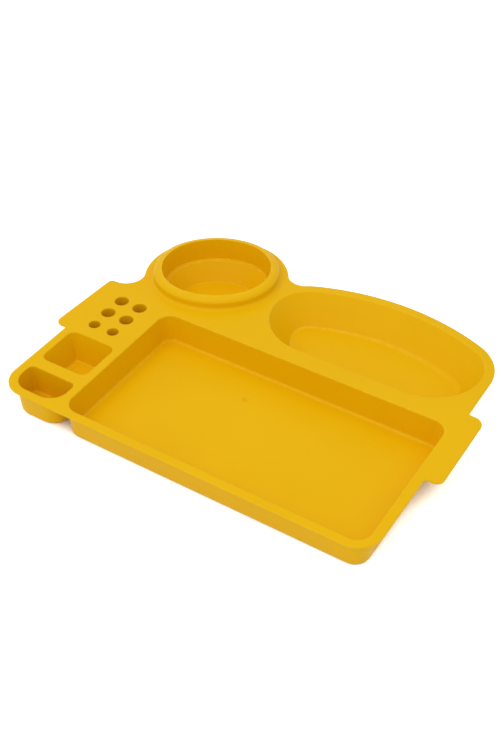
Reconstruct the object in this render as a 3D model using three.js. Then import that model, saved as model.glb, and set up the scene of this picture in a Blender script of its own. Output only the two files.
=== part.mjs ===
// Medical treatment tray: one thin moulded deck that carries a large instrument well, a half-moon bowl,
// a stepped cup with a raised collar, two small wells, six tube sockets and a grip tab on each side.
// Millimetres, +Z up. The tray stands on z = 0 and the origin is under the middle of its outline.
import * as THREE from 'three';

// Moulding
const WALL = 2.4;
const DECK_HEIGHT = 31.8;
const DECK_EDGE_RADIUS = 0.9;
const MOUTH_EDGE_RADIUS = 1.4;
const HOLE_EDGE_RADIUS = 0.8;
const SHARPEST_CORNER = 0.5;

// Facets: how far a chord may stay off its arc, the widest step, and the counts on small roundings
const CHORD_ERROR = 0.25;
const WIDEST_STEP = 22.5;
const EDGE_FACETS = 2;
const ROLL_FACETS = 2;
const SAME_POINT = 0.001;

// Left column, from the front: front small well, rear small well, tube rack
const SMALL_LENGTH = 51.4;
const FRONT_WELL_WIDTH = 28.9;
const FRONT_WELL_FRONT_CORNER = 17;
const FRONT_WELL_BACK_CORNER = 5;
const SMALL_BAR = 12.6;
const REAR_WELL_WIDTH = 47.4;
const REAR_WELL_CORNER = 7.5;
const FRONT_WELL_DRAFT = 3;
const REAR_WELL_DRAFT = 14;
const SMALL_FLOOR_FILLET = 2.5;
const SMALL_BASE_FILLET = 3;
const RACK_FROM_WELL = 18.1;
const RACK_FROM_LEFT = 31.9;
const RACK_END = 8.3;
const HOLE_PITCH = 21.6;
const NARROW_HOLE_RADIUS = 5.6;
const WIDE_HOLE_RADIUS = 6.9;
const SOCKET_WALL = 1.8;
const SOCKET_DEPTH = 25;
const SOCKET_FILLET = 2;

// Large well
const MAIN_LENGTH = 300;
const MAIN_CORNER = 14;
const MAIN_DRAFT = 4;
const MAIN_FLOOR_FILLET = 3;
const MAIN_BASE_FILLET = 3;
const WELL_BAR = 8.6;

// Rims round the deck
const RIM_FRONT = 8.4;
const RIM_LEFT = 8.6;
const RIM_RIGHT = 9.6;
const DECK_FRONT_CORNER = 24;

// Cup and collar: an oval of two end arcs and two flatter side arcs, its long axis turned from +X
const CUP_END_RADIUS = 45;
const CUP_END_OFFSET = 9.6;
const CUP_SIDE_OFFSET = 18;
const CUP_TURN = 30;
const CUP_BAR = 13.4;
const CUP_MOUTH_DRAFT = 3;
const CUP_LEDGE_DEPTH = 11;
const CUP_LEDGE_WIDTH = 4;
const CUP_DRAFT = 33;
const CUP_FLOOR_FILLET = 3;
const COLLAR_HEIGHT = 12;
const COLLAR_WIDTH = 8.6;
const COLLAR_ROLL_ACROSS = 11;
const COLLAR_ROLL_HEIGHT = 5.5;
const COLLAR_LIP_RADIUS = 0.6;
const COLLAR_FOOT = 3.6;
const LOBE_FLANGE = 5.9;
const LOBE_FROM_LEFT = 6.1;

// Half-moon bowl
const MOON_HALF_LENGTH = 108.2;
const MOON_BAR = 18.3;
const MOON_FROM_COLLAR = 8.1;
const MOON_FRONT_CORNER = 52.5;
const MOON_CROWN = 52.4;
const MOON_SHOULDER = 37.9;
const MOON_SHOULDER_LIMIT = 0.9;
const MOON_RIM = 9.2;
const MOON_DRAFT = 35;
const MOON_FLOOR_FILLET = 3;
const SADDLE_BLEND = 17;

// Grip tabs
const TAB_START = 89.5;
const TAB_CORNER = 7.5;
const TAB_ROOT = 2.5;
const LEFT_TAB_REACH = 13.9;
const LEFT_TAB_TAPER = 4.3;
const LEFT_TAB_BEFORE_CUP = 60.4;
const LEFT_TAB_BACK_CORNER = 5;
const TAB_BLEND = 18;
const RIGHT_TAB_REACH = 14.5;
const RIGHT_TAB_LENGTH = 91;
const RIGHT_TAB_BACK_CORNER = 9.6;

const radians = THREE.MathUtils.degToRad;
const QUARTER = Math.PI / 2;

// Places worked out from the sizes: x = 0 and y = 0 are the large well's left and front mouth edges
const DECK_UNDER = DECK_HEIGHT - WALL;
const FLOOR = WALL;
const smallRight = -WELL_BAR;
const smallLeft = smallRight - SMALL_LENGTH;
const deckLeft = smallLeft - RIM_LEFT;
const deckRight = MAIN_LENGTH + RIM_RIGHT;
const deckFront = -RIM_FRONT;
const rearWellFront = FRONT_WELL_WIDTH + SMALL_BAR;
const rearWellBack = rearWellFront + REAR_WELL_WIDTH;
const firstRow = rearWellBack + RACK_FROM_WELL;
const mainBack = firstRow + 2 * HOLE_PITCH + RACK_END;
const rackX = deckLeft + RACK_FROM_LEFT;
const footReach = COLLAR_WIDTH + COLLAR_FOOT;
const lobeReach = footReach + LOBE_FLANGE;
const cupTurn = radians(CUP_TURN);
const cupEnd = new THREE.Vector2(Math.cos(cupTurn), Math.sin(cupTurn)).multiplyScalar(CUP_END_OFFSET);
const cupSide = new THREE.Vector2(-Math.sin(cupTurn), Math.cos(cupTurn)).multiplyScalar(CUP_SIDE_OFFSET);
const cup = new THREE.Vector2(
  deckLeft + LOBE_FROM_LEFT + lobeReach + CUP_END_RADIUS + cupEnd.x,
  mainBack + CUP_BAR + footReach + CUP_END_RADIUS + cupEnd.y
);
const cupRight = cup.clone().add(cupEnd);
const cupLeft = cup.clone().sub(cupEnd);
const moonX = cupRight.x + CUP_END_RADIUS + footReach + MOON_FROM_COLLAR + MOON_HALF_LENGTH;
const moonFront = mainBack + MOON_BAR;
const moonShoulderY = moonFront + MOON_FRONT_CORNER;
const moonBack = moonShoulderY + MOON_CROWN;
const leftTabBack = cup.y - LEFT_TAB_BEFORE_CUP;
const rightTabBack = TAB_START + RIGHT_TAB_LENGTH;

// One arc of an outline. A falling sweep is a hollow corner. The facet count comes from the radius as drawn.
function arc(x, y, radius, from, to, drawnRadius = radius) {
  const finest = 2 * Math.acos(1 - CHORD_ERROR / Math.max(drawnRadius, 1));
  const step = Math.min(finest, radians(WIDEST_STEP));
  const facets = Math.max(1, Math.ceil(Math.abs(to - from) / step));
  return { x, y, radius, from, to, facets };
}

// The arc that rounds one corner of a polyline, grown sideways to its right by grow
function cornerArc(before, corner, after, radius, grow = 0) {
  const into = corner.clone().sub(before).normalize();
  const out = after.clone().sub(corner).normalize();
  const turn = Math.atan2(into.cross(out), into.dot(out));
  const side = Math.sign(turn);
  const reach = radius * Math.tan(Math.abs(turn) / 2);
  const centre = corner.clone().addScaledVector(into, -reach);
  centre.add(new THREE.Vector2(-into.y, into.x).multiplyScalar(side * radius));
  const from = Math.atan2(into.y, into.x) - side * QUARTER;
  return arc(centre.x, centre.y, radius + side * grow, from, from + turn, radius);
}

// A closed row of points in which each place that two neighbours share is kept once
const distinct = (points) => points.filter((point, i) => point.distanceTo(points.at(i - 1)) > SAME_POINT);

// The points of an outline made of arcs and the straight lines between them, anticlockwise from above
function outlinePoints(arcs) {
  const points = arcs.flatMap(({ x, y, radius, from, to, facets }) =>
    Array.from({ length: facets + 1 }, (_, i) => {
      const angle = from + ((to - from) * i) / facets;
      return new THREE.Vector2(x + radius * Math.cos(angle), y + radius * Math.sin(angle));
    })
  );
  return distinct(points);
}

// A rectangle with its own radius at each corner, from front left, as a function of how far it is grown
function rectangle(left, front, right, back, radii) {
  return (grow) => {
    const corners = [
      new THREE.Vector2(left - grow, front - grow),
      new THREE.Vector2(right + grow, front - grow),
      new THREE.Vector2(right + grow, back + grow),
      new THREE.Vector2(left - grow, back + grow),
    ];
    const arcs = corners.map((corner, i) => {
      const radius = Math.max(radii[i] + grow, SHARPEST_CORNER);
      const rounded = cornerArc(corners[(i + 3) % 4], corner, corners[(i + 1) % 4], radius);
      return { ...rounded, facets: arc(0, 0, radii[i], 0, QUARTER).facets };
    });
    return outlinePoints(arcs);
  };
}

// A whole circle has the same number of facets in each quarter, so that round neighbours line up
const turnFacets = (radius) => 4 * arc(0, 0, radius, 0, QUARTER).facets;

function circle(centre, radius) {
  const turn = { ...arc(centre.x, centre.y, radius, 0, 4 * QUARTER), facets: turnFacets(radius) };
  return (grow) => outlinePoints([{ ...turn, radius: radius + grow }]);
}

// The cup's oval, as a function of how far it is grown from the edge of its mouth
function cupArcs(grow) {
  const sideRadius = CUP_END_RADIUS + Math.hypot(CUP_END_OFFSET, CUP_SIDE_OFFSET);
  const sweep = Math.atan2(CUP_SIDE_OFFSET, CUP_END_OFFSET);
  const end = ({ x, y }, middle) =>
    arc(x, y, CUP_END_RADIUS + grow, middle - sweep, middle + sweep, CUP_END_RADIUS);
  const side = ({ x, y }, from) =>
    arc(x, y, sideRadius + grow, from, from + Math.PI - 2 * sweep, sideRadius);
  return {
    right: end(cupRight, cupTurn),
    back: side(cup.clone().sub(cupSide), cupTurn + sweep),
    left: end(cupLeft, cupTurn + Math.PI),
    front: side(cup.clone().add(cupSide), cupTurn + Math.PI + sweep),
  };
}

const cupOutline = (grow) => outlinePoints(Object.values(cupArcs(grow)));

// The half moon: two wide front corners, two shoulders and a flat crown that runs smoothly into them
const moonShoulder = Math.min(MOON_SHOULDER, MOON_SHOULDER_LIMIT * MOON_CROWN);
const shoulderOffset = MOON_HALF_LENGTH - moonShoulder;
const crownRadius =
  (shoulderOffset ** 2 + MOON_CROWN ** 2 - moonShoulder ** 2) / (2 * (MOON_CROWN - moonShoulder));
const crownY = moonBack - crownRadius;
const crownAngle = Math.atan2(moonShoulderY - crownY, shoulderOffset);

function moonArcs(grow) {
  const front = MOON_HALF_LENGTH - MOON_FRONT_CORNER;
  const corner = MOON_FRONT_CORNER + grow;
  const shoulder = moonShoulder + grow;
  return {
    frontLeft: arc(moonX - front, moonShoulderY, corner, Math.PI, 3 * QUARTER, MOON_FRONT_CORNER),
    frontRight: arc(moonX + front, moonShoulderY, corner, 3 * QUARTER, 4 * QUARTER, MOON_FRONT_CORNER),
    right: arc(moonX + shoulderOffset, moonShoulderY, shoulder, 0, crownAngle, moonShoulder),
    crown: arc(moonX, crownY, crownRadius + grow, crownAngle, Math.PI - crownAngle, crownRadius),
    left: arc(moonX - shoulderOffset, moonShoulderY, shoulder, Math.PI - crownAngle, Math.PI, moonShoulder),
  };
}

const moonOutline = (grow) => outlinePoints(Object.values(moonArcs(grow)));

// The centre of a circle of the given reach from two points, on the side to the left of first to second
function apex(first, firstReach, second, secondReach) {
  const span = second.clone().sub(first);
  const length = span.length();
  const along = (firstReach ** 2 - secondReach ** 2 + length ** 2) / (2 * length);
  const height = Math.sqrt(firstReach ** 2 - along ** 2);
  const unit = span.divideScalar(length);
  const aside = new THREE.Vector2(-unit.y, unit.x).multiplyScalar(height);
  return first.clone().addScaledVector(unit, along).add(aside);
}

const bearing = (from, to) => Math.atan2(to.y - from.y, to.x - from.x);

// The deck's free outline: front corners, right tab, half-moon lobe, saddle, cup lobe, blend, left tab
function deckOutline(grow) {
  const at = (x, y) => new THREE.Vector2(x, y);
  const moonRight = moonX + MOON_HALF_LENGTH + MOON_RIM;
  const lobe = moonArcs(MOON_RIM + grow);
  const shoulder = at(moonX - shoulderOffset, moonShoulderY);
  const collarLobe = cupArcs(lobeReach + grow);
  const lobeEnd = CUP_END_RADIUS + lobeReach;
  const saddle = apex(cupRight, lobeEnd + SADDLE_BLEND, shoulder, moonShoulder + MOON_RIM + SADDLE_BLEND);
  const blendY = leftTabBack + TAB_BLEND;
  const blendReach = Math.sqrt((lobeEnd + TAB_BLEND) ** 2 - (cupLeft.y - blendY) ** 2);
  const blend = at(cupLeft.x - blendReach, blendY);
  const saddleToShoulder = bearing(saddle, shoulder);
  const saddleToCup = bearing(saddle, cupRight);
  const cupToSaddle = bearing(cupRight, saddle);
  const cupToBlend = bearing(cupLeft, blend) + 2 * Math.PI;
  const tabLeft = deckLeft - LEFT_TAB_REACH;
  const tabRight = deckRight + RIGHT_TAB_REACH;
  const path = [
    [at(blend.x, leftTabBack)],
    [at(tabLeft + LEFT_TAB_TAPER, leftTabBack), LEFT_TAB_BACK_CORNER],
    [at(tabLeft, TAB_START), TAB_CORNER],
    [at(deckLeft, TAB_START), TAB_ROOT],
    [at(deckLeft, deckFront), DECK_FRONT_CORNER],
    [at(deckRight, deckFront), DECK_FRONT_CORNER],
    [at(deckRight, TAB_START), TAB_ROOT],
    [at(tabRight, TAB_START), TAB_CORNER],
    [at(tabRight, rightTabBack), RIGHT_TAB_BACK_CORNER],
    [at(moonRight, rightTabBack), TAB_ROOT],
    [at(moonRight, moonShoulderY)],
  ];
  const corners = path.slice(1, -1).map(([corner, radius], i) =>
    cornerArc(path[i][0], corner, path[i + 2][0], radius, grow)
  );
  const leftShoulder = { ...lobe.left, to: saddleToShoulder + Math.PI };
  const saddleTurn = saddleToCup < saddleToShoulder ? saddleToCup : saddleToCup - 2 * Math.PI;
  return outlinePoints([
    ...corners,
    lobe.right,
    lobe.crown,
    leftShoulder,
    arc(saddle.x, saddle.y, SADDLE_BLEND - grow, saddleToShoulder, saddleTurn, SADDLE_BLEND),
    { ...collarLobe.right, from: cupToSaddle },
    collarLobe.back,
    { ...collarLobe.left, to: cupToBlend },
    arc(blend.x, blend.y, TAB_BLEND - grow, cupToBlend - Math.PI, -QUARTER, TAB_BLEND),
  ]);
}

// A mesh from rings of points: walls between neighbouring rings, caps on the open ends
class SolidBuilder {
  positions = [];
  indices = [];

  ring(points, z) {
    const first = this.positions.length / 3;
    points.forEach((point) => this.positions.push(point.x, point.y, z));
    return points.map((_, i) => first + i);
  }

  wall(rings) {
    rings.slice(1).forEach((upper, k) => {
      const lower = rings[k];
      lower.forEach((a, i) => {
        const next = (i + 1) % lower.length;
        this.indices.push(a, lower[next], upper[next], a, upper[next], upper[i]);
      });
    });
  }

  cap(outer, holes, facesUp) {
    const point = (i) => new THREE.Vector2(this.positions[3 * i], this.positions[3 * i + 1]);
    const all = [outer, ...holes].flat();
    const faces = THREE.ShapeUtils.triangulateShape(outer.map(point), holes.map((hole) => hole.map(point)));
    faces.forEach(([a, b, c]) => {
      const [p, q, r] = [a, b, c].map((i) => point(all[i]));
      const turnsLeft = q.clone().sub(p).cross(r.clone().sub(p)) > 0;
      this.indices.push(all[a], ...(turnsLeft === facesUp ? [all[b], all[c]] : [all[c], all[b]]));
    });
  }

  geometry() {
    const geometry = new THREE.BufferGeometry();
    geometry.setAttribute('position', new THREE.Float32BufferAttribute(this.positions, 3));
    geometry.setIndex(this.indices);
    geometry.computeVertexNormals();
    return geometry;
  }
}

function node(name, geometry) {
  const plastic = new THREE.MeshStandardMaterial({ color: 0xedb814, roughness: 0.45, metalness: 0 });
  const mesh = new THREE.Mesh(geometry, plastic);
  mesh.name = name;
  return mesh;
}

// A drafted wall with a filleted foot, as pairs of inward shift and height from the top down
function wallSection(top, floor, draft, fillet, outward = 0) {
  const slope = radians(draft);
  const topShift = -outward / Math.cos(slope);
  const tangent = fillet * Math.tan((QUARTER - slope) / 2);
  const centreShift = topShift + (top - floor) * Math.tan(slope) + tangent;
  const facets = arc(0, 0, fillet, slope, QUARTER).facets;
  const foot = Array.from({ length: facets + 1 }, (_, i) => {
    const angle = slope + ((QUARTER - slope) * i) / facets;
    return { shift: centreShift - fillet * Math.cos(angle), z: floor + fillet - fillet * Math.sin(angle) };
  });
  return [{ shift: topShift, z: top }, ...foot];
}

// A thin tub under the deck: up the outside from its base, over the flat top, down the inside to its floor.
// Its outline is the mouth at the deck's top, so under the deck its wall has already leant in a little.
function tub({ name, outline, draft, floorFillet, baseFillet }) {
  const solid = new SolidBuilder();
  const inset = WALL * Math.tan(radians(draft));
  const outside = wallSection(DECK_UNDER, 0, draft, baseFillet, WALL).reverse();
  const inside = wallSection(DECK_UNDER, FLOOR, draft, floorFillet);
  const rings = [...outside, ...inside].map(({ shift, z }) => solid.ring(outline(-inset - shift), z));
  solid.wall(rings);
  solid.cap(rings[0], [], false);
  solid.cap(rings.at(-1), [], true);
  return node(name, solid.geometry());
}

// The rounding between a flat face and the side below or above it, as pairs of inward shift and height
function edgeSection(radius, faceZ, direction) {
  return Array.from({ length: EDGE_FACETS + 1 }, (_, i) => {
    const angle = (QUARTER * i) / EDGE_FACETS;
    return { shift: radius * (1 - Math.sin(angle)), z: faceZ + direction * radius * (1 - Math.cos(angle)) };
  });
}

// A mouth in the deck: a rounding from the deck's top into a side that leans in with the draft of its well,
// as pairs of outward shift and height
function mouthSection(radius, draft) {
  const slope = radians(draft);
  const centre = radius * Math.tan((QUARTER - slope) / 2);
  const edge = Array.from({ length: EDGE_FACETS + 1 }, (_, i) => {
    const angle = ((QUARTER - slope) * i) / EDGE_FACETS;
    return { shift: centre - radius * Math.sin(angle), z: DECK_HEIGHT - radius * (1 - Math.cos(angle)) };
  });
  return [...edge, { shift: -WALL * Math.tan(slope), z: DECK_UNDER }];
}

// The deck: a plate with a rounded free edge and a mouth over each hollow below it
function deckPlate(mouths) {
  const solid = new SolidBuilder();
  const under = edgeSection(DECK_EDGE_RADIUS, DECK_UNDER, 1);
  const over = edgeSection(DECK_EDGE_RADIUS, DECK_HEIGHT, -1).reverse();
  const rim = [...under, ...over].map(({ shift, z }) => solid.ring(deckOutline(-shift), z));
  solid.wall(rim);
  const holes = mouths.map(({ outline, section }) => {
    const rings = section.map(({ shift, z }) => solid.ring(outline(shift), z));
    solid.wall(rings);
    return rings;
  });
  solid.cap(rim.at(-1), holes.map((rings) => rings[0]), true);
  solid.cap(rim[0], holes.map((rings) => rings.at(-1)), false);
  return node('deck_plate', solid.geometry());
}

// A round piece: a profile of radius and height turned about a vertical axis
function turned(name, centre, profile, facets) {
  const geometry = new THREE.LatheGeometry(profile, facets);
  geometry.rotateX(QUARTER);
  const mesh = node(name, geometry);
  mesh.position.set(centre.x, centre.y, 0);
  return mesh;
}

// The collar's hollow goes through the deck, whose edge is flush with it
const hollowOuter = COLLAR_WIDTH - WALL;
const cupAtDeck = -COLLAR_HEIGHT * Math.tan(radians(CUP_MOUTH_DRAFT));

// The collar: a hollow lip on the deck, with a flared foot and a crown that rolls outward from its edge.
// In its section x is the growth from the edge of the mouth and y is the height.
function cupCollar() {
  const crest = DECK_HEIGHT + COLLAR_HEIGHT;
  const roll = COLLAR_WIDTH - COLLAR_ROLL_ACROSS;
  const rollStart = Math.acos((COLLAR_LIP_RADIUS - roll) / COLLAR_ROLL_ACROSS);
  const rollZ = crest - COLLAR_ROLL_HEIGHT * Math.sin(rollStart);
  const hollow = (WALL + hollowOuter) / 2;
  const arch = hollow - WALL;
  const overHollow = COLLAR_ROLL_HEIGHT * Math.sqrt(1 - ((hollow - roll) / COLLAR_ROLL_ACROSS) ** 2);
  const archZ = rollZ + overHollow - WALL - arch;
  const section = new THREE.Path();
  section.moveTo(footReach, DECK_HEIGHT);
  section.absarc(footReach, DECK_HEIGHT + COLLAR_FOOT, COLLAR_FOOT, -QUARTER, -Math.PI, true);
  section.absellipse(roll, rollZ, COLLAR_ROLL_ACROSS, COLLAR_ROLL_HEIGHT, 0, rollStart, false);
  section.absarc(COLLAR_LIP_RADIUS, crest - COLLAR_LIP_RADIUS, COLLAR_LIP_RADIUS, QUARTER, Math.PI, false);
  section.lineTo(cupAtDeck, DECK_HEIGHT);
  section.lineTo(cupAtDeck + WALL, DECK_HEIGHT);
  section.lineTo(WALL, archZ);
  section.absarc(hollow, archZ, arch, Math.PI, 0, true);
  section.lineTo(hollowOuter, DECK_HEIGHT);
  const solid = new SolidBuilder();
  const rings = distinct(section.getPoints(ROLL_FACETS)).map(({ x, y }) => solid.ring(cupOutline(x), y));
  solid.wall([...rings, rings[0]]);
  return node('cup_collar', solid.geometry());
}

// The cup: a drafted mouth, a narrow ledge and a bowl with a round foot, up the outside and down the inside
function cupWell() {
  const ledge = DECK_HEIGHT - CUP_LEDGE_DEPTH;
  const ledgeOuter = cupAtDeck - CUP_LEDGE_DEPTH * Math.tan(radians(CUP_MOUTH_DRAFT));
  const ledgeInner = ledgeOuter - CUP_LEDGE_WIDTH;
  const underLedge = ledgeInner - WALL * Math.tan(radians(CUP_DRAFT));
  const bowlInside = wallSection(ledge, FLOOR, CUP_DRAFT, CUP_FLOOR_FILLET);
  const bowlOutside = wallSection(ledge - WALL, 0, CUP_DRAFT, CUP_FLOOR_FILLET + WALL, WALL).reverse();
  const section = [
    ...bowlOutside.map(({ shift, z }) => [underLedge - shift, z]),
    [ledgeOuter + WALL, ledge - WALL],
    [cupAtDeck + WALL, DECK_HEIGHT],
    [cupAtDeck, DECK_HEIGHT],
    [ledgeOuter, ledge],
    ...bowlInside.map(({ shift, z }) => [ledgeInner - shift, z]),
  ];
  const solid = new SolidBuilder();
  const rings = section.map(([grow, z]) => solid.ring(cupOutline(grow), z));
  solid.wall(rings);
  solid.cap(rings[0], [], false);
  solid.cap(rings.at(-1), [], true);
  return node('cup_well', solid.geometry());
}

// A blind socket that hangs under one tube hole
function tubeSocket({ name, centre, radius }) {
  const bottom = DECK_HEIGHT - SOCKET_DEPTH;
  const at = (radius, z) => new THREE.Vector2(radius, z);
  const inside = wallSection(DECK_UNDER, bottom, 0, SOCKET_FILLET).reverse();
  const outside = wallSection(DECK_UNDER, bottom - SOCKET_WALL, 0, SOCKET_FILLET + SOCKET_WALL, SOCKET_WALL);
  const profile = [
    at(0, bottom),
    ...inside.map(({ shift, z }) => at(radius - shift, z)),
    ...outside.map(({ shift, z }) => at(radius - shift, z)),
    at(0, bottom - SOCKET_WALL),
  ];
  return turned(name, centre, profile.reverse(), turnFacets(radius));
}

// The tube rack: two columns of three holes, narrow ones in the front row
const tubes = [0, 1, 2].flatMap((row) =>
  [-0.5, 0.5].map((column, i) => ({
    name: `tube_socket_${2 * row + i + 1}`,
    centre: new THREE.Vector2(rackX + column * HOLE_PITCH, firstRow + row * HOLE_PITCH),
    radius: row === 0 ? NARROW_HOLE_RADIUS : WIDE_HOLE_RADIUS,
  }))
);

const mainOutline = rectangle(0, 0, MAIN_LENGTH, mainBack, Array(4).fill(MAIN_CORNER));
const rearOutline = rectangle(
  smallLeft, rearWellFront, smallRight, rearWellBack, Array(4).fill(REAR_WELL_CORNER)
);
const frontOutline = rectangle(smallLeft, 0, smallRight, FRONT_WELL_WIDTH, [
  FRONT_WELL_FRONT_CORNER, FRONT_WELL_FRONT_CORNER, FRONT_WELL_BACK_CORNER, FRONT_WELL_BACK_CORNER,
]);

const wells = [
  {
    name: 'main_well', outline: mainOutline, draft: MAIN_DRAFT,
    floorFillet: MAIN_FLOOR_FILLET, baseFillet: MAIN_BASE_FILLET,
  },
  {
    name: 'half_moon_well', outline: moonOutline, draft: MOON_DRAFT,
    floorFillet: MOON_FLOOR_FILLET, baseFillet: MOON_FLOOR_FILLET + WALL,
  },
  {
    name: 'rear_small_well', outline: rearOutline, draft: REAR_WELL_DRAFT,
    floorFillet: SMALL_FLOOR_FILLET, baseFillet: SMALL_BASE_FILLET,
  },
  {
    name: 'front_small_well', outline: frontOutline, draft: FRONT_WELL_DRAFT,
    floorFillet: SMALL_FLOOR_FILLET, baseFillet: SMALL_BASE_FILLET,
  },
];

const underCollar = [DECK_HEIGHT, DECK_UNDER].map((z) => ({ shift: hollowOuter, z }));
const mouths = [
  ...wells.map(({ outline, draft }) => ({ outline, section: mouthSection(MOUTH_EDGE_RADIUS, draft) })),
  ...tubes.map(({ centre, radius }) => ({
    outline: circle(centre, radius), section: mouthSection(HOLE_EDGE_RADIUS, 0),
  })),
  { outline: cupOutline, section: underCollar },
];

const tray = new THREE.Group();
tray.add(deckPlate(mouths));
wells.forEach((well) => tray.add(tub(well)));
tray.add(cupCollar());
tray.add(cupWell());
tubes.forEach((tube) => tray.add(tubeSocket(tube)));

const middle = new THREE.Box2().setFromPoints(deckOutline(0)).getCenter(new THREE.Vector2());
tray.position.set(-middle.x, -middle.y, 0);

export default tray;
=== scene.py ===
from collections import namedtuple
from math import acos, atan2, ceil, cos, dist, hypot, pi, radians, sin, sqrt, tan

import bmesh
import bpy
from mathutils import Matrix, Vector
from mathutils.geometry import tessellate_polygon


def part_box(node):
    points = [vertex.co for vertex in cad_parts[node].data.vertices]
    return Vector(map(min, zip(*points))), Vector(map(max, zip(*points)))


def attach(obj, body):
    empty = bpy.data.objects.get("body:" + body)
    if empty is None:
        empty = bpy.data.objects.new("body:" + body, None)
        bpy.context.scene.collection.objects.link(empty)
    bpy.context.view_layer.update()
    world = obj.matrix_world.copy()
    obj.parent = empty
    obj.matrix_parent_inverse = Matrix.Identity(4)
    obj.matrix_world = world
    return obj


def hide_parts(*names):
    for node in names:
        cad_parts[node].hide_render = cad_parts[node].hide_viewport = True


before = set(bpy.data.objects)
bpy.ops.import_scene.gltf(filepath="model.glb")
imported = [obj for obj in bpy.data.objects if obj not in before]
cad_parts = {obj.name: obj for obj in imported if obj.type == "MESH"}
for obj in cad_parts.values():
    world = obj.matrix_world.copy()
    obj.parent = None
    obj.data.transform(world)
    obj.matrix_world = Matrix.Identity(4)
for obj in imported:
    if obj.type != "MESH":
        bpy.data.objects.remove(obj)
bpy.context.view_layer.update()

# Lengths are in metres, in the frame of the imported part
MM = 0.001
QUARTER = pi / 2

# Drafts: how far the walls lean from upright
MAIN_DRAFT = radians(4)
FRONT_DRAFT = radians(3)
REAR_DRAFT = radians(14)
MOON_DRAFT = radians(35)
CUP_MOUTH_DRAFT = radians(3)
CUP_DRAFT = radians(33)

# Rounded edges of the deck, of the wells' mouths and of the tube holes
DECK_EDGE = 0.9 * MM
MOUTH_EDGE = 1.4 * MM
HOLE_EDGE = 0.8 * MM

# Large well and small wells: radii of their corners, and fillets on their floors and under their bases
MAIN_CORNER = 14 * MM
MAIN_FILLET = 3 * MM
MAIN_BASE_FILLET = 3 * MM
REAR_CORNER = 7.5 * MM
FRONT_CORNERS = (17 * MM, 17 * MM, 5 * MM, 5 * MM)
SMALL_FILLET = 2.5 * MM
SMALL_BASE_FILLET = 3 * MM

# Half-moon bowl: radii of its outline, and its fillet, which grows from its left end to its right end
MOON_FRONT_CORNER = 52.5 * MM
MOON_SHOULDER = 37.9 * MM
MOON_LEFT_FILLET = 3 * MM
MOON_RIGHT_FILLET = 9 * MM

# Deck: widths of the rims beside the wells, and radii of its front corners and of the saddle at its back
RIM_FRONT = 8.4 * MM
RIM_LEFT = 8.6 * MM
RIM_RIGHT = 9.6 * MM
MOON_RIM = 9.2 * MM
LOBE_FLANGE = 5.9 * MM
DECK_CORNER = 24 * MM
SADDLE_BLEND = 17 * MM

# Grip tabs: their places, their reach beyond the deck, and their corners
TAB_START = 89.5 * MM
TAB_CORNER = 7.5 * MM
TAB_ROOT = 2.5 * MM
TAB_BLEND = 18 * MM
LEFT_TAB_REACH = 13.9 * MM
LEFT_TAB_TAPER = 4.3 * MM
LEFT_TAB_BEFORE_CUP = 60.4 * MM
LEFT_TAB_BACK_CORNER = 5 * MM
RIGHT_TAB_REACH = 14.5 * MM
RIGHT_TAB_LENGTH = 91 * MM
RIGHT_TAB_BACK_CORNER = 9.6 * MM

# Collar: radius of its flared foot, its width, half axes of its oval roll, and radius of its inner lip
COLLAR_FOOT = 3.6 * MM
COLLAR_WIDTH = 8.6 * MM
COLLAR_ROLL_ACROSS = 11 * MM
COLLAR_ROLL_HEIGHT = 5.5 * MM
COLLAR_LIP = 0.6 * MM

# Cup: turn of its oval, places of the oval's centres, and its ledge and fillet
CUP_TURN = radians(30)
CUP_END_OFFSET = 9.6 * MM
CUP_SIDE_OFFSET = 18 * MM
CUP_LEDGE_DEPTH = 11 * MM
CUP_LEDGE_WIDTH = 4 * MM
CUP_LEDGE_EDGE = 0.9 * MM
CUP_FILLET = 3 * MM

# Tube sockets
SOCKET_WALL = 1.8 * MM
SOCKET_FILLET = 2 * MM

# Gate mark: its place from the left front corner of the large well's mouth, its dent and its nub
GATE_RIGHT = 114.8 * MM
GATE_BACK = 120.3 * MM
GATE_RADIUS = 3.2 * MM
GATE_DEPTH = 0.6 * MM
GATE_NUB_FOOT = 0.96 * MM
GATE_NUB_TOP = 0.48 * MM
GATE_NUB_HEIGHT = 0.42 * MM
GATE_FLAT = 2 * GATE_NUB_FOOT

# Plastic: two close yellows, a darker patch round the gate mark that is partly its own plastic and partly
# painted shade in its dent, a paler yellow that is wear on outer edges and painted highlights on the wells'
# feet and the cup's ledge, scuffs and grain
DEEP_YELLOW = (0.805, 0.459, 0.0, 1)
BRIGHT_YELLOW = (0.835, 0.479, 0.001, 1)
STAIN_AND_SHADE_YELLOW = (0.55, 0.30, 0.0, 1)
WORN_AND_HIGHLIT_YELLOW = (0.93, 0.60, 0.06, 1)
SPECULAR = 0.08
SMOOTH_ROUGHNESS = 0.40
SCUFFED_ROUGHNESS = 0.52
GRAIN_STRENGTH = 0.12
GRAIN_DEPTH = 0.05 * MM
# The gate's darker patch is partly its own plastic and partly painted shade in its dent
GATE_STAIN_AND_SHADE = 0.3
GATE_STAIN_AND_SHADE_REACH = 4 * MM

# Noise of the plastic: waves per metre, octaves and their fall, and the range of values that is used
DRIFT_NOISE = {"Scale": 9, "Detail": 2, "Roughness": 0.5}
DRIFT_RANGE = (0.3, 0.7)
WEAR_AND_HIGHLIGHT_NOISE = {"Scale": 220, "Detail": 4, "Roughness": 0.5}
WEAR_AND_HIGHLIGHT_RANGE = (0.35, 0.75)
SCUFF_NOISE = {"Scale": 140, "Detail": 8, "Roughness": 0.7}
SCUFF_RANGE = (0.52, 0.72)
GRAIN_NOISE = {"Scale": 1600, "Detail": 3, "Roughness": 0.6}

# Wear and painted highlights: the largest share of the paler colour on an edge, and how much more or less
# some edges have; the cup's ledge and the wells' feet get painted highlights, not wear
MOST_WEAR_AND_HIGHLIGHT = 0.35
CUP_LEDGE_HIGHLIGHT = 1.4
FOOT_HIGHLIGHT = 0.6
MOON_FOOT_HIGHLIGHT = 1.7
LIP_WEAR_POWER = 4

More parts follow.
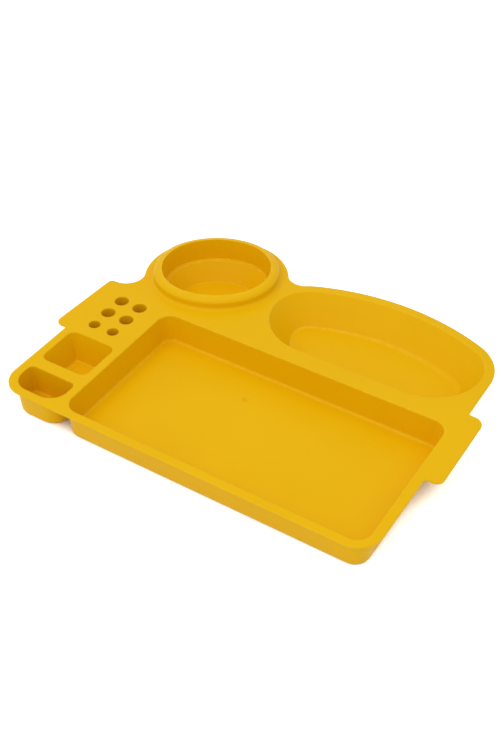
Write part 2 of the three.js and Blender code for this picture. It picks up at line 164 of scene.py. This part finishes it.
# Mesh: chord error, steps of the roundings, flat strips beside them, and what counts as sharp or equal
CHORD_ERROR = 0.02 * MM
FEWEST_STEPS = 2
EDGE_STEPS = 6
ROLL_STEPS = 18
MOON_FILLET_STEPS = 8
STRIP = 0.3 * MM
SHARPEST_CORNER = 0.5 * MM
SHARP_ANGLE = radians(40)
SAME_POINT = 0.001 * MM

# Room: a wide pale floor, light from all sides and two softboxes
FLOOR_HALF = 3.0
FLOOR_COLOUR = (0.95, 0.95, 0.95, 1)
FLOOR_GLOW = 0.62
WHITE = (1, 1, 1, 1)
WORLD_SEEN = 1
WORLD_LIGHT = 0.71
TOP_PLACE = (0, -0.2, 1.25)
TOP_POWER = 3.9
TOP_SIZE = 2.0
KEY_PLACE = (-0.25, -0.8, 1.4)
KEY_POWER = 5.0
KEY_SIZE = 1.0

# Shadow: the floor's glow grows between two shares of open space above it, looked at up to a reach
SHADE_REACH = 50 * MM
SHADE_DARK = 0.24
SHADE_CLEAR = 0.44

# View of the photograph: bearing and height of the camera round a point on the deck, and its lens
VIEW_AZIMUTH = radians(32.083)
VIEW_ELEVATION = radians(41.05)
VIEW_DISTANCE = 1.051
VIEW_POINT = (-2.9 * MM, -23.55 * MM)
LENS = 55.45
SENSOR = 36

# Levels: the deck is one wall thick, and so is each well's floor, which stands on the ground
deck_low, deck_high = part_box("deck_plate")
DECK = deck_high.z
UNDER = deck_low.z
WALL = DECK - UNDER
WELL_FLOOR = WALL

Edges = namedtuple("Edges", "left front right back")


def mouth(node, draft):
    """Edges of a well's mouth at the deck's top, from the box round its outer wall below the deck."""
    low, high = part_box(node)
    side = WALL / cos(draft) - WALL * tan(draft)
    return Edges(low.x + side, low.y + side, high.x - side, high.y - side)


def round_place(node):
    """Centre and radius of a round node."""
    low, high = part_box(node)
    return ((low.x + high.x) / 2, (low.y + high.y) / 2), (high.x - low.x) / 2


main_mouth = mouth("main_well", MAIN_DRAFT)
rear_mouth = mouth("rear_small_well", REAR_DRAFT)
front_mouth = mouth("front_small_well", FRONT_DRAFT)
moon_mouth = mouth("half_moon_well", MOON_DRAFT)
gate = (main_mouth.left + GATE_RIGHT, main_mouth.front + GATE_BACK, WELL_FLOOR)

# The cup's oval has two end arcs and two flatter side arcs. Growth is counted from the edge of its mouth.
collar_low, collar_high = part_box("cup_collar")
crest = collar_high.z
cup = ((collar_low + collar_high) / 2).xy
cup_end = Vector((cos(CUP_TURN), sin(CUP_TURN))) * CUP_END_OFFSET
cup_side = Vector((-sin(CUP_TURN), cos(CUP_TURN))) * CUP_SIDE_OFFSET
cup_right, cup_left = cup + cup_end, cup - cup_end
collar_foot = COLLAR_WIDTH + COLLAR_FOOT
lobe_reach = collar_foot + LOBE_FLANGE
end_radius = collar_high.x - cup_right.x - collar_foot
cup_at_deck = (DECK - crest) * tan(CUP_MOUTH_DRAFT)

# The half moon's crown is one arc that touches the arcs of both shoulders
moon_x = (moon_mouth.left + moon_mouth.right) / 2
moon_half = (moon_mouth.right - moon_mouth.left) / 2
moon_y = moon_mouth.front + MOON_FRONT_CORNER
moon_crown = moon_mouth.back - moon_y
shoulder_x = moon_half - MOON_SHOULDER
crown_squares = shoulder_x ** 2 + moon_crown ** 2 - MOON_SHOULDER ** 2
crown_radius = crown_squares / (2 * (moon_crown - MOON_SHOULDER))
crown_y = moon_mouth.back - crown_radius
crown_angle = atan2(moon_y - crown_y, shoulder_x)


# Outlines: each is a list of arcs, and the arcs' points at any growth join up without gaps

def arc_steps(radius, sweep):
    """How many steps keep an arc within the chord error."""
    step = 2 * acos(1 - CHORD_ERROR / radius)
    return max(FEWEST_STEPS, ceil(abs(sweep) / step))


def arc(x, y, radius, start, end, side=1):
    """An arc of an outline. Side is 1 for a full corner, which grows with it, and -1 for a hollow one."""
    return {"x": x, "y": y, "radius": radius, "start": start, "end": end, "side": side,
            "steps": arc_steps(radius, end - start)}


def corner(before, point, after, radius):
    """The arc that rounds one corner of a path."""
    before, point, after = Vector(before), Vector(point), Vector(after)
    into = (point - before).normalized()
    out = (after - point).normalized()
    turn = atan2(into.x * out.y - into.y * out.x, into.dot(out))
    side = 1 if turn > 0 else -1
    centre = point - into * radius * tan(abs(turn) / 2) + Vector((-into.y, into.x)) * side * radius
    start = atan2(into.y, into.x) - side * QUARTER
    return arc(centre.x, centre.y, radius, start, start + turn, side)


def points(arcs, grow=0.0):
    """Points of an outline, grown sideways, anticlockwise from above."""
    found = []
    for a in arcs:
        radius = a["radius"] + a["side"] * grow
        for i in range(a["steps"] + 1):
            angle = a["start"] + (a["end"] - a["start"]) * i / a["steps"]
            found.append((a["x"] + radius * cos(angle), a["y"] + radius * sin(angle)))
    return [p for i, p in enumerate(found) if dist(p, found[i - 1]) > SAME_POINT]


def rectangle(edges, radii):
    """A rectangle with its own corner radii. Its corners stay round when it shrinks past them."""
    def outline(grow):
        left, right = edges.left - grow, edges.right + grow
        front, back = edges.front - grow, edges.back + grow
        path = [(left, front), (right, front), (right, back), (left, back)]
        arcs = []
        for i, radius in enumerate(radii):
            after = path[(i + 1) % len(path)]
            rounded = corner(path[i - 1], path[i], after, max(radius + grow, SHARPEST_CORNER))
            # Every growth has as many points, so that the rings can be joined
            rounded["steps"] = arc_steps(radius, QUARTER)
            arcs.append(rounded)
        return points(arcs)
    return outline


def circle(centre, radius):
    """A circle, with points on both of its axes."""
    whole = arc(*centre, radius, 0, 2 * pi)
    whole["steps"] = 4 * ceil(whole["steps"] / 4)
    return lambda grow: points([whole], grow)


def cup_arcs(reach=0.0):
    """The cup's oval at a reach from its mouth: right end, back, left end and front."""
    sweep = atan2(CUP_SIDE_OFFSET, CUP_END_OFFSET)
    end = end_radius + reach
    side = end + hypot(CUP_END_OFFSET, CUP_SIDE_OFFSET)
    back, left, front = CUP_TURN + sweep, CUP_TURN + pi - sweep, CUP_TURN + pi + sweep
    return [
        arc(*cup_right, end, CUP_TURN - sweep, back),
        arc(*(cup - cup_side), side, back, left),
        arc(*cup_left, end, left, front),
        arc(*(cup + cup_side), side, front, CUP_TURN + 2 * pi - sweep),
    ]


def cup_outline(grow):
    """The edge of the cup's mouth, grown sideways."""
    return points(cup_arcs(), grow)


def moon_arcs(rim=0.0):
    """The half moon: front corners, right shoulder, crown and left shoulder, all wider by a rim."""
    front_x = moon_half - MOON_FRONT_CORNER
    return [
        arc(moon_x - front_x, moon_y, MOON_FRONT_CORNER + rim, pi, 3 * QUARTER),
        arc(moon_x + front_x, moon_y, MOON_FRONT_CORNER + rim, 3 * QUARTER, 2 * pi),
        arc(moon_x + shoulder_x, moon_y, MOON_SHOULDER + rim, 0, crown_angle),
        arc(moon_x, crown_y, crown_radius + rim, crown_angle, pi - crown_angle),
        arc(moon_x - shoulder_x, moon_y, MOON_SHOULDER + rim, pi - crown_angle, pi),
    ]


def moon_outline(grow):
    """The edge of the half moon's mouth, grown sideways."""
    return points(moon_arcs(), grow)


def moon_share(x):
    """0 at the bowl's left end and 1 at its right end, with a smooth change between them."""
    part = (x - moon_mouth.left) / (moon_mouth.right - moon_mouth.left)
    return part * part * (3 - 2 * part)


def bearing(start, end):
    """The direction from one point to another."""
    return atan2(end[1] - start[1], end[0] - start[0])


def deck_arcs():
    """The free outline: left tab, front corners, right tab, half-moon lobe, saddle, cup lobe and blend."""
    left, right = front_mouth.left - RIM_LEFT, main_mouth.right + RIM_RIGHT
    front = main_mouth.front - RIM_FRONT
    tab_front = main_mouth.front + TAB_START
    tab_left, tab_right = left - LEFT_TAB_REACH, right + RIGHT_TAB_REACH
    left_back, right_back = cup.y - LEFT_TAB_BEFORE_CUP, tab_front + RIGHT_TAB_LENGTH
    moon_right = moon_x + moon_half + MOON_RIM
    blend_y = left_back + TAB_BLEND
    lobe_right, lobe_back, lobe_left, _ = cup_arcs(lobe_reach)
    blend_reach = lobe_left["radius"] + TAB_BLEND
    blend = (cup_left.x - sqrt(blend_reach ** 2 - (cup_left.y - blend_y) ** 2), blend_y)
    path = [
        ((blend[0], left_back), 0),
        ((tab_left + LEFT_TAB_TAPER, left_back), LEFT_TAB_BACK_CORNER),
        ((tab_left, tab_front), TAB_CORNER),
        ((left, tab_front), TAB_ROOT),
        ((left, front), DECK_CORNER),
        ((right, front), DECK_CORNER),
        ((right, tab_front), TAB_ROOT),
        ((tab_right, tab_front), TAB_CORNER),
        ((tab_right, right_back), RIGHT_TAB_BACK_CORNER),
        ((moon_right, right_back), TAB_ROOT),
        ((moon_right, moon_y), 0),
    ]
    corners = []
    for (before, _), (point, radius), (after, _) in zip(path, path[1:], path[2:]):
        corners.append(corner(before, point, after, radius))
    _, _, shoulder, crown, far_shoulder = moon_arcs(MOON_RIM)

    # The saddle is a hollow arc that touches the half-moon lobe and the cup lobe
    moon_lobe = Vector((far_shoulder["x"], far_shoulder["y"]))
    span = moon_lobe - cup_right
    reach = lobe_right["radius"] + SADDLE_BLEND
    moon_reach = far_shoulder["radius"] + SADDLE_BLEND
    along = (reach ** 2 - moon_reach ** 2 + span.length ** 2) / (2 * span.length)
    aside = Vector((-span.y, span.x)).normalized() * sqrt(reach ** 2 - along ** 2)
    saddle = cup_right + span.normalized() * along + aside
    to_moon, to_cup = bearing(saddle, moon_lobe), bearing(saddle, cup_right)
    if to_cup > to_moon:
        to_cup -= 2 * pi
    far_shoulder["end"] = to_moon + pi
    lobe_right["start"] = bearing(cup_right, saddle)
    lobe_left["end"] = bearing(cup_left, blend) + 2 * pi
    return corners + [
        shoulder,
        crown,
        far_shoulder,
        arc(saddle.x, saddle.y, SADDLE_BLEND, to_moon, to_cup, -1),
        lobe_right,
        lobe_back,
        lobe_left,
        arc(blend[0], blend[1], TAB_BLEND, lobe_left["end"] - pi, -QUARTER, -1),
    ]


# Sections: each is a list of (growth, height, share of the paler colour for wear and painted highlights)
# from which the rings of a piece are made

def wall_section(top, floor, draft, fillet, thickness=0.0, steps=None, wear_and_highlight=0.0):
    """A drafted wall from its top down to a filleted foot and a strip of flat floor."""
    lean = thickness / cos(draft)
    centre = -lean + (top - floor) * tan(draft) + fillet * tan((QUARTER - draft) / 2)
    steps = steps or arc_steps(fillet, QUARTER - draft)
    section = [(lean, top, 0.0)]
    for i in range(steps + 1):
        angle = draft + (QUARTER - draft) * i / steps
        rise = fillet * (1 - sin(angle))
        # A fillet given a share gets a painted highlight, strongest at its middle
        section.append((fillet * cos(angle) - centre, floor + rise, wear_and_highlight * sin(pi * i / steps)))
    return section + [(-centre - STRIP, floor, 0.0)]


def tub_section(draft, fillet, base_fillet, wear_and_highlight, steps=None):
    """A well's wall: up the outside from its base, over its hidden top and down the inside to its floor."""
    outside = wall_section(UNDER, 0.0, draft, base_fillet, WALL, steps)
    return outside[::-1] + wall_section(UNDER, WELL_FLOOR, draft, fillet, steps=steps, wear_and_highlight=wear_and_highlight)


def mouth_section(edge, draft):
    """From a strip of the deck round the mouth's edge and down its drafted wall to the deck's underside."""
    centre = edge * tan((QUARTER - draft) / 2)
    section = [(centre + STRIP, DECK, 0.0)]
    for i in range(EDGE_STEPS + 1):
        angle = QUARTER + (QUARTER - draft) * i / EDGE_STEPS
        wear_and_highlight = sin(pi * i / EDGE_STEPS)
        section.append((centre + edge * cos(angle), DECK - edge + edge * sin(angle), wear_and_highlight))
    return section + [(-WALL * tan(draft), UNDER, 0.0)]


def rim_section():
    """The deck's free edge, from a strip of its underside round to a strip of its top."""
    half = [(-DECK_EDGE - STRIP, 0.0, 0.0)]
    for i in range(EDGE_STEPS + 1):
        angle = QUARTER * i / EDGE_STEPS
        half.append((DECK_EDGE * (sin(angle) - 1), DECK_EDGE * (1 - cos(angle)), i / EDGE_STEPS))
    lower = [(grow, UNDER + rise, wear_and_highlight) for grow, rise, wear_and_highlight in half]
    upper = [(grow, DECK - rise, wear_and_highlight) for grow, rise, wear_and_highlight in reversed(half)]
    return lower + upper


def collar_section():
    """Round the collar, from its outer foot over the roll to the inside and back through its hollow."""
    roll = COLLAR_WIDTH - COLLAR_ROLL_ACROSS
    roll_start = acos((COLLAR_LIP - roll) / COLLAR_ROLL_ACROSS)
    roll_z = crest - COLLAR_ROLL_HEIGHT * sin(roll_start)
    section = []
    for i in range(ROLL_STEPS + 1):
        angle = -QUARTER * (1 + i / ROLL_STEPS)
        across, rise = COLLAR_FOOT * cos(angle), COLLAR_FOOT * (1 + sin(angle))
        section.append((collar_foot + across, DECK + rise, 0.0))
    for i in range(ROLL_STEPS + 1):
        angle = roll_start * i / ROLL_STEPS
        across, rise = COLLAR_ROLL_ACROSS * cos(angle), COLLAR_ROLL_HEIGHT * sin(angle)
        section.append((roll + across, roll_z + rise, (i / ROLL_STEPS) ** LIP_WEAR_POWER))
    for i in range(1, EDGE_STEPS + 1):
        angle = QUARTER * (1 + i / EDGE_STEPS)
        wear_and_highlight = 1 - i / EDGE_STEPS
        section.append((COLLAR_LIP * (1 + cos(angle)), crest + COLLAR_LIP * (sin(angle) - 1), wear_and_highlight))
    section.append((cup_at_deck, DECK, 0.0))
    section.append((cup_at_deck + WALL, DECK, 0.0))

    # The hollow under the roll, open below
    middle = COLLAR_WIDTH / 2
    arch = middle - WALL
    over = COLLAR_ROLL_HEIGHT * sqrt(1 - ((middle - roll) / COLLAR_ROLL_ACROSS) ** 2)
    arch_z = roll_z + over - WALL - arch
    for i in range(EDGE_STEPS + 1):
        angle = pi * (1 - i / EDGE_STEPS)
        section.append((middle + arch * cos(angle), arch_z + arch * sin(angle), 0.0))
    return section + [(COLLAR_WIDTH - WALL, DECK, 0.0)]


def cup_section():
    """Up the cup's outside, over its top and down a drafted mouth, a ledge with a soft edge and a bowl."""
    ledge = DECK - CUP_LEDGE_DEPTH
    ledge_outer = cup_at_deck - CUP_LEDGE_DEPTH * tan(CUP_MOUTH_DRAFT)
    ledge_inner = ledge_outer - CUP_LEDGE_WIDTH
    under_ledge = ledge_inner - WALL * tan(CUP_DRAFT)
    inside = [(cup_at_deck, DECK, 0.0), (ledge_outer, ledge + CUP_LEDGE_EDGE, 0.0)]
    # The ledge's soft edge gets a painted highlight
    for i in range(1, EDGE_STEPS + 1):
        angle = QUARTER * i / EDGE_STEPS
        across, rise = CUP_LEDGE_EDGE * (1 - cos(angle)), CUP_LEDGE_EDGE * (1 - sin(angle))
        inside.append((ledge_outer - across, ledge + rise, CUP_LEDGE_HIGHLIGHT * i / EDGE_STEPS))
    turn = QUARTER - CUP_DRAFT
    soft = CUP_LEDGE_EDGE * tan(turn / 2)
    for i in range(EDGE_STEPS + 1):
        angle = QUARTER + turn * i / EDGE_STEPS
        across, drop = soft + CUP_LEDGE_EDGE * cos(angle), CUP_LEDGE_EDGE * (1 - sin(angle))
        inside.append((ledge_inner + across, ledge - drop, CUP_LEDGE_HIGHLIGHT * (1 - i / EDGE_STEPS)))
    bowl = wall_section(ledge, WELL_FLOOR, CUP_DRAFT, CUP_FILLET)[1:]
    inside += [(ledge_inner + grow, height, wear_and_highlight) for grow, height, wear_and_highlight in bowl]
    outside = [(cup_at_deck + WALL, DECK, 0.0), (ledge_outer + WALL, ledge - WALL, 0.0)]
    outer_bowl = wall_section(ledge - WALL, 0.0, CUP_DRAFT, CUP_FILLET + WALL, WALL)
    outside += [(under_ledge + grow, height, wear_and_highlight) for grow, height, wear_and_highlight in outer_bowl]
    return outside[::-1] + inside


def socket_section(bottom):
    """Up a socket's outside from its closed bottom, over its hidden top and down its inside."""
    outside = wall_section(UNDER, bottom, 0.0, SOCKET_FILLET + SOCKET_WALL, SOCKET_WALL)
    return outside[::-1] + wall_section(UNDER, bottom + SOCKET_WALL, 0.0, SOCKET_FILLET)


def gate_section():
    """A shallow dent with a low nub, where the plastic entered the mould."""
    bottom = WELL_FLOOR - GATE_DEPTH
    section = [(STRIP, WELL_FLOOR, 0.0)]
    for i in range(EDGE_STEPS + 1):
        share = i / EDGE_STEPS
        across = (GATE_FLAT - GATE_RADIUS) * share
        drop = GATE_DEPTH * (1 - cos(pi * share)) / 2
        section.append((across, WELL_FLOOR - drop, 0.0))
    section.append((GATE_NUB_FOOT - GATE_RADIUS, bottom, 0.0))
    section.append((GATE_NUB_TOP - GATE_RADIUS, bottom + GATE_NUB_HEIGHT, 0.0))
    return section


# Pieces

def add_object(name, data):
    """A new object in the scene."""
    made = bpy.data.objects.new(name, data)
    bpy.context.scene.collection.objects.link(made)
    return made


class Piece:
    """A mesh built from rings of points, with smooth walls between them and flat caps on its ends."""

    def __init__(self, name):
        self.name = name
        self.mesh = bmesh.new()
        # Each point's share of the paler colour: wear on outer edges, painted highlights on some fillets
        self.wear_and_highlight = self.mesh.verts.layers.float.new("worn_and_highlit_edges")

    def rings(self, outline, section):
        """One ring of points for each entry of a section."""
        made = []
        for grow, height, wear_and_highlight in section:
            ring = []
            for x, y in outline(grow):
                vertex = self.mesh.verts.new((x, y, height))
                vertex[self.wear_and_highlight] = wear_and_highlight
                ring.append(vertex)
            made.append(ring)
        return made

    def lean(self, rings, outline, section, share):
        """Change rings towards those of another section, by a share that grows along the tray."""
        for ring, (grow, height, wear_and_highlight) in zip(rings, section):
            for vertex, (x, y) in zip(ring, outline(grow)):
                part = share(vertex.co.x)
                vertex.co = vertex.co.lerp(Vector((x, y, height)), part)
                vertex[self.wear_and_highlight] += (wear_and_highlight - vertex[self.wear_and_highlight]) * part

    def wall(self, rings, closed=False):
        """Faces between each ring and the next. A closed wall also joins the last ring to the first."""
        pairs = list(zip(rings, rings[1:]))
        if closed:
            pairs.append((rings[-1], rings[0]))
        for lower, upper in pairs:
            for i, vertex in enumerate(lower):
                self.mesh.faces.new((lower[i - 1], vertex, upper[i], upper[i - 1]))

    def cap(self, outer, holes, faces_up):
        """A flat face inside a ring, with holes left out of it."""
        loops = [outer] + holes
        corners = [vertex for loop in loops for vertex in loop]
        for triangle in tessellate_polygon([[vertex.co for vertex in loop] for loop in loops]):
            a, b, c = (corners[i] for i in triangle)
            leans_up = (b.co - a.co).cross(c.co - a.co).z > 0
            self.mesh.faces.new((a, b, c) if leans_up == faces_up else (a, c, b))

    def finish(self, material, *nodes):
        """Turn the mesh into an object that rides on the tray in place of its nodes."""
        data = bpy.data.meshes.new(self.name)
        self.mesh.to_mesh(data)
        self.mesh.free()
        data.shade_smooth()
        data.set_sharp_from_angle(angle=SHARP_ANGLE)
        data.materials.append(material)
        piece = add_object(self.name, data)
        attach(piece, "root")
        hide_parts(*nodes)


def add_deck(mouths, material):
    """The deck: its free edge, the mouths in it, and flat faces above and below between them."""
    piece = Piece("deck")
    arcs = deck_arcs()
    rim = piece.rings(lambda grow: points(arcs, grow), rim_section())
    piece.wall(rim)
    holes = []
    for outline, section in mouths:
        rings = piece.rings(outline, section)
        piece.wall(rings)
        holes.append(rings)
    piece.cap(rim[-1], [rings[0] for rings in holes], True)
    piece.cap(rim[0], [rings[-1] for rings in holes], False)
    piece.finish(material, "deck_plate")


def add_tub(node, mouth_outline, draft, section, material, mark=None, right_end=None):
    """A well below the deck. Its floor can have a mark, and its right end a section of its own."""
    piece = Piece(node.replace("well", "tub"))
    inset = WALL * tan(draft)

    def outline(grow):
        return mouth_outline(grow - inset)

    rings = piece.rings(outline, section)
    if right_end:
        piece.lean(rings, outline, *right_end)
    piece.wall(rings)
    piece.cap(rings[0], [], False)
    holes = []
    if mark:
        dent = piece.rings(*mark)
        piece.wall(dent)
        piece.cap(dent[-1], [], True)
        holes.append(dent[0])
    piece.cap(rings[-1], holes, True)
    piece.finish(material, node)


def add_collar(material):
    """The rolled collar, closed on itself all round its section."""
    piece = Piece("collar")
    piece.wall(piece.rings(cup_outline, collar_section()), closed=True)
    piece.finish(material, "cup_collar")


def add_beaker(name, outline, section, material, node):
    """A piece with one wall, closed at the bottom outside and inside: the cup or a socket."""
    piece = Piece(name)
    rings = piece.rings(outline, section)
    piece.wall(rings)
    piece.cap(rings[0], [], False)
    piece.cap(rings[-1], [], True)
    piece.finish(material, node)


# Materials

def set_inputs(node, values):
    """Set a node's inputs by their names."""
    for name, value in values.items():
        node.inputs[name].default_value = value


def map_range(tree, value, low, high, to_low, to_high):
    """A value mapped from one range to another, and kept within it."""
    node = tree.nodes.new("ShaderNodeMapRange")
    set_inputs(node, {"From Min": low, "From Max": high, "To Min": to_low, "To Max": to_high})
    tree.links.new(value, node.inputs["Value"])
    return node.outputs["Result"]


def combine(tree, operation, first, second):
    """Two values combined by an operation."""
    node = tree.nodes.new("ShaderNodeMath")
    node.operation = operation
    tree.links.new(first, node.inputs[0])
    tree.links.new(second, node.inputs[1])
    return node.outputs["Value"]


def noise(tree, place, settings):
    """A value that changes with the place."""
    node = tree.nodes.new("ShaderNodeTexNoise")
    set_inputs(node, settings)
    tree.links.new(place, node.inputs["Vector"])
    return node.outputs["Fac"]


def blend_colours(tree, factor, first, second):
    """A blend of two colours. Each is a plain colour or another node's output."""
    node = tree.nodes.new("ShaderNodeMix")
    node.data_type = "RGBA"
    tree.links.new(factor, node.inputs["Factor"])
    for socket, colour in ((node.inputs["A"], first), (node.inputs["B"], second)):
        if isinstance(colour, tuple):
            socket.default_value = colour
        else:
            tree.links.new(colour, socket)
    return node.outputs["Result"]


def tray_plastic():
    """Satin yellow plastic: slow drifts of colour, moulded grain, faint scuffs, a darker patch round the
    gate mark that is partly painted shade, and paler edges, some rubbed and some painted highlights.
    """
    material = bpy.data.materials.new("tray_plastic")
    material.use_nodes = True
    tree = material.node_tree
    shader = tree.nodes["Principled BSDF"]
    set_inputs(shader, {"Specular IOR Level": SPECULAR})
    place = tree.nodes.new("ShaderNodeTexCoord").outputs["Object"]

    drift = map_range(tree, noise(tree, place, DRIFT_NOISE), *DRIFT_RANGE, 0, 1)
    colour = blend_colours(tree, drift, DEEP_YELLOW, BRIGHT_YELLOW)

    # The darker patch round the gate mark, partly its own plastic and partly painted shade in its dent,
    # fades with the distance from the mark
    from_gate = tree.nodes.new("ShaderNodeVectorMath")
    from_gate.operation = "DISTANCE"
    from_gate.inputs[1].default_value = gate
    tree.links.new(place, from_gate.inputs[0])
    stain_and_shade = map_range(tree, from_gate.outputs["Value"], 0, GATE_STAIN_AND_SHADE_REACH, GATE_STAIN_AND_SHADE, 0)
    colour = blend_colours(tree, stain_and_shade, colour, STAIN_AND_SHADE_YELLOW)

    # Edges are paler in patches: worn on the outer edges, painted highlights on the wells' feet and the
    # cup's ledge
    worn_and_highlit = tree.nodes.new("ShaderNodeAttribute")
    worn_and_highlit.attribute_name = "worn_and_highlit_edges"
    patches = map_range(tree, noise(tree, place, WEAR_AND_HIGHLIGHT_NOISE), *WEAR_AND_HIGHLIGHT_RANGE, 0, MOST_WEAR_AND_HIGHLIGHT)
    wear_and_highlight = combine(tree, "MULTIPLY", worn_and_highlit.outputs["Fac"], patches)
    tree.links.new(blend_colours(tree, wear_and_highlight, colour, WORN_AND_HIGHLIT_YELLOW), shader.inputs["Base Color"])

    scuff_noise = noise(tree, place, SCUFF_NOISE)
    scuffs = map_range(tree, scuff_noise, *SCUFF_RANGE, SMOOTH_ROUGHNESS, SCUFFED_ROUGHNESS)
    tree.links.new(scuffs, shader.inputs["Roughness"])

    grain = tree.nodes.new("ShaderNodeBump")
    set_inputs(grain, {"Strength": GRAIN_STRENGTH, "Distance": GRAIN_DEPTH})
    tree.links.new(noise(tree, place, GRAIN_NOISE), grain.inputs["Height"])
    tree.links.new(grain.outputs["Normal"], shader.inputs["Normal"])
    return material


def seen_directly(tree):
    """1 for rays that show the background itself, straight or by reflection or refraction."""
    path = tree.nodes.new("ShaderNodeLightPath")
    seen = path.outputs["Is Camera Ray"]
    for name in ("Is Glossy Ray", "Is Transmission Ray"):
        seen = combine(tree, "MAXIMUM", seen, path.outputs[name])
    return seen


def pale_floor():
    """Matt paint that adds white where it is seen, except in the shadow close to the tray."""
    material = bpy.data.materials.new("pale_floor")
    material.use_nodes = True
    tree = material.node_tree
    tree.nodes.clear()
    paint = tree.nodes.new("ShaderNodeBsdfDiffuse")
    set_inputs(paint, {"Color": FLOOR_COLOUR})
    openness = tree.nodes.new("ShaderNodeAmbientOcclusion")
    set_inputs(openness, {"Distance": SHADE_REACH})
    unshaded = map_range(tree, openness.outputs["AO"], SHADE_DARK, SHADE_CLEAR, 0, FLOOR_GLOW)
    glow = tree.nodes.new("ShaderNodeEmission")
    strength = combine(tree, "MULTIPLY", seen_directly(tree), unshaded)
    tree.links.new(strength, glow.inputs["Strength"])
    both = tree.nodes.new("ShaderNodeAddShader")
    tree.links.new(paint.outputs["BSDF"], both.inputs[0])
    tree.links.new(glow.outputs["Emission"], both.inputs[1])
    output = tree.nodes.new("ShaderNodeOutputMaterial")
    tree.links.new(both.outputs["Shader"], output.inputs["Surface"])
    return material


# Stage

def add_floor():
    """A wide square floor at the level that the tray stands on."""
    sides = ((-1, -1), (1, -1), (1, 1), (-1, 1))
    corners = [(FLOOR_HALF * x, FLOOR_HALF * y, 0) for x, y in sides]
    data = bpy.data.meshes.new("floor")
    data.from_pydata(corners, [], [(0, 1, 2, 3)])
    data.materials.append(pale_floor())
    obj = add_object("floor", data)


def add_world():
    """White where it is seen, and a softer white as the room's light."""
    studio = bpy.data.worlds.new("studio")
    bpy.context.scene.world = studio
    studio.use_nodes = True
    tree = studio.node_tree
    background = tree.nodes["Background"]
    set_inputs(background, {"Color": WHITE})
    strength = map_range(tree, seen_directly(tree), 0, 1, WORLD_LIGHT, WORLD_SEEN)
    tree.links.new(strength, background.inputs["Strength"])


def add_softbox(name, place, power, size):
    """A square lamp that points at the tray's middle."""
    lamp = bpy.data.lights.new(name, "AREA")
    lamp.energy = power
    lamp.size = size
    obj = add_object(name, lamp)
    obj.location = place
    obj.rotation_euler = (-Vector(place)).to_track_quat("-Z", "Y").to_euler()


def add_camera():
    """The camera of the photograph, aimed at a point on the deck."""
    data = bpy.data.cameras.new("camera")
    data.lens = LENS
    data.sensor_width = SENSOR
    level = cos(VIEW_ELEVATION)
    away = Vector((sin(VIEW_AZIMUTH) * level, -cos(VIEW_AZIMUTH) * level, sin(VIEW_ELEVATION)))
    obj = add_object("camera", data)
    obj.location = Vector((*VIEW_POINT, DECK)) + away * VIEW_DISTANCE
    obj.rotation_euler = away.to_track_quat("Z", "Y").to_euler()
    bpy.context.scene.camera = obj


# The tray

plastic = tray_plastic()
main_outline = rectangle(main_mouth, [MAIN_CORNER] * 4)
rear_outline = rectangle(rear_mouth, [REAR_CORNER] * 4)
front_outline = rectangle(front_mouth, FRONT_CORNERS)
tube_holes = {}
for node in sorted(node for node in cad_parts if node.startswith("tube_socket")):
    centre, radius = round_place(node)
    tube_holes[node] = circle(centre, radius - SOCKET_WALL)

mouths = [
    (main_outline, mouth_section(MOUTH_EDGE, MAIN_DRAFT)),
    (moon_outline, mouth_section(MOUTH_EDGE, MOON_DRAFT)),
    (rear_outline, mouth_section(MOUTH_EDGE, REAR_DRAFT)),
    (front_outline, mouth_section(MOUTH_EDGE, FRONT_DRAFT)),
    (cup_outline, [(COLLAR_WIDTH - WALL, level, 0.0) for level in (DECK, UNDER)]),
]
mouths += [(outline, mouth_section(HOLE_EDGE, 0.0)) for outline in tube_holes.values()]
add_deck(mouths, plastic)

# The wells' feet get a faint painted highlight along their fillets
main_section = tub_section(MAIN_DRAFT, MAIN_FILLET, MAIN_BASE_FILLET, FOOT_HIGHLIGHT)
rear_section = tub_section(REAR_DRAFT, SMALL_FILLET, SMALL_BASE_FILLET, FOOT_HIGHLIGHT)
front_section = tub_section(FRONT_DRAFT, SMALL_FILLET, SMALL_BASE_FILLET, FOOT_HIGHLIGHT)
moon_ends = []
# The bowl's foot gets a painted highlight at its left end, fading out towards its right end
for fillet, wear_and_highlight in ((MOON_LEFT_FILLET, MOON_FOOT_HIGHLIGHT), (MOON_RIGHT_FILLET, 0.0)):
    moon_ends.append(tub_section(MOON_DRAFT, fillet, fillet + WALL, wear_and_highlight, MOON_FILLET_STEPS))
moon_section, moon_right_section = moon_ends
moon_right_end = (moon_right_section, moon_share)
gate_mark = (circle(gate[:2], GATE_RADIUS), gate_section())

add_tub("main_well", main_outline, MAIN_DRAFT, main_section, plastic, mark=gate_mark)
add_tub("half_moon_well", moon_outline, MOON_DRAFT, moon_section, plastic, right_end=moon_right_end)
add_tub("rear_small_well", rear_outline, REAR_DRAFT, rear_section, plastic)
add_tub("front_small_well", front_outline, FRONT_DRAFT, front_section, plastic)
add_collar(plastic)
add_beaker("cup", cup_outline, cup_section(), plastic, "cup_well")
for node, outline in tube_holes.items():
    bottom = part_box(node)[0][2]
    name = node.replace("tube_socket", "socket")
    add_beaker(name, outline, socket_section(bottom), plastic, node)

add_floor()
add_world()
add_softbox("top", TOP_PLACE, TOP_POWER, TOP_SIZE)
add_softbox("key", KEY_PLACE, KEY_POWER, KEY_SIZE)
add_camera()
bpy.context.scene.view_settings.view_transform = "Standard"
